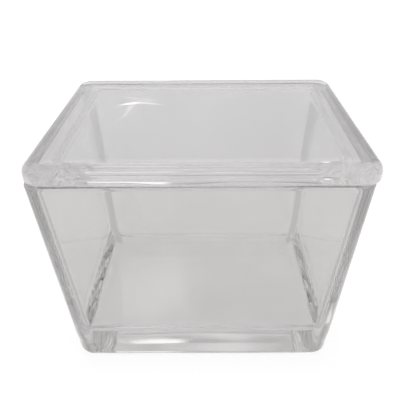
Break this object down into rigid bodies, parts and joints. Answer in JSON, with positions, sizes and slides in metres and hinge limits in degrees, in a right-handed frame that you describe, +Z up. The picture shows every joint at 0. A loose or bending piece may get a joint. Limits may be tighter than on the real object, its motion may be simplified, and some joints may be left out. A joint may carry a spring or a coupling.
{
  "type": "slide staining jar",
  "caption": "Deep rectangular clear glass jar with thick drafted walls, a heavy base and a loose flat lid, for staining microscope slides standing in a rack.",
  "frame": {"origin": "middle of the dish's flat underside, on the bench", "axes": "+X along the long side, +Y from the front of the jar to its back, +Z up out of the mouth"},
  "size_m": [0.1064, 0.084, 0.084],
  "materials": {
    "dish_glass": "clear pressed glass",
    "lid_glass": "clear pressed glass"
  },
  "bodies": {
    "root": {"dish": "dish_glass", "lid": "lid_glass"}
  },
  "joints": []
}
